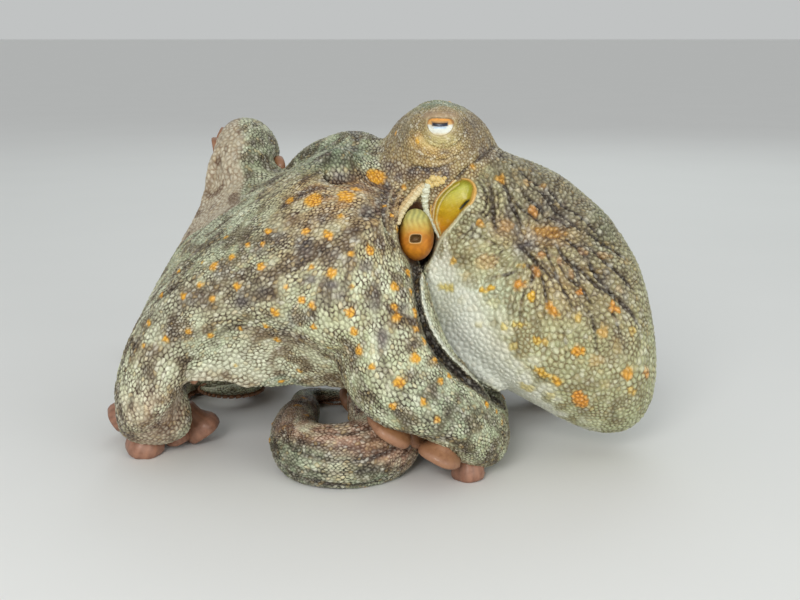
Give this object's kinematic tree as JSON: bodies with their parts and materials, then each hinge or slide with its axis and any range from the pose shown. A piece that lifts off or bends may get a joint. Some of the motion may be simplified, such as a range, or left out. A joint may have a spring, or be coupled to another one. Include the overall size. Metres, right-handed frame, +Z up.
{
  "type": "common octopus model",
  "caption": "Octopus standing on bent, webbed arms: egg-shaped mantle hanging behind a head with raised eyes, a side funnel, suckered arms ending in flat curls.",
  "frame": {"origin": "centre of the bounding box at floor level", "axes": "+Z up; +X towards the rear tip of the mantle; -Y towards the animal's left side, the side of the funnel"},
  "size_m": [0.3176, 0.3234, 0.1755],
  "materials": {
    "skin": "moist, finely cobbled",
    "web_skin": "moist, finely cobbled",
    "mantle_skin": "moist, wrinkled and papillate",
    "eye": "wet gloss",
    "funnel_rim": "moist satin",
    "collar": "moist satin"
  },
  "bodies": {
    "root": {"arm_L1_1": "skin", "arm_L1_2": "skin", "arm_L1_3": "skin", "arm_L1_4": "skin", "arm_L1_5": "skin", "arm_L2_1": "skin", "arm_L2_2": "skin", "arm_L2_3": "skin", "arm_L2_4": "skin", "arm_L2_5": "skin", "arm_L2_6": "skin", "arm_L3_1": "skin", "arm_L3_2": "skin", "arm_L3_3": "skin", "arm_L3_4": "skin", "arm_L3_5": "skin", "arm_L4_1": "skin", "arm_L4_2": "skin", "arm_L4_3": "skin", "arm_L4_4": "skin", "arm_L4_5": "skin", "arm_R1_1": "skin", "arm_R1_2": "skin", "arm_R1_3": "skin", "arm_R1_4": "skin", "arm_R1_5": "skin", "arm_R2_1": "skin", "arm_R2_2": "skin", "arm_R2_3": "skin", "arm_R2_4": "skin", "arm_R2_5": "skin", "arm_R3_1": "skin", "arm_R3_2": "skin", "arm_R3_3": "skin", "arm_R3_4": "skin", "arm_R3_5": "skin", "arm_R4_1": "skin", "arm_R4_2": "skin", "arm_R4_3": "skin", "arm_R4_4": "skin", "arm_R4_5": "skin", "arm_crown": "skin", "eye_left": "eye", "eye_right": "eye", "funnel": "funnel_rim", "head": "skin", "mantle": "mantle_skin", "mantle_collar": "collar", "web_L1_L2": "web_skin", "web_L2_L3": "web_skin", "web_L3_L4": "web_skin", "web_L4_R4": "web_skin", "web_R1_L1": "web_skin", "web_R2_R1": "web_skin", "web_R3_R2": "web_skin", "web_R4_R3": "web_skin"}
  },
  "joints": []
}
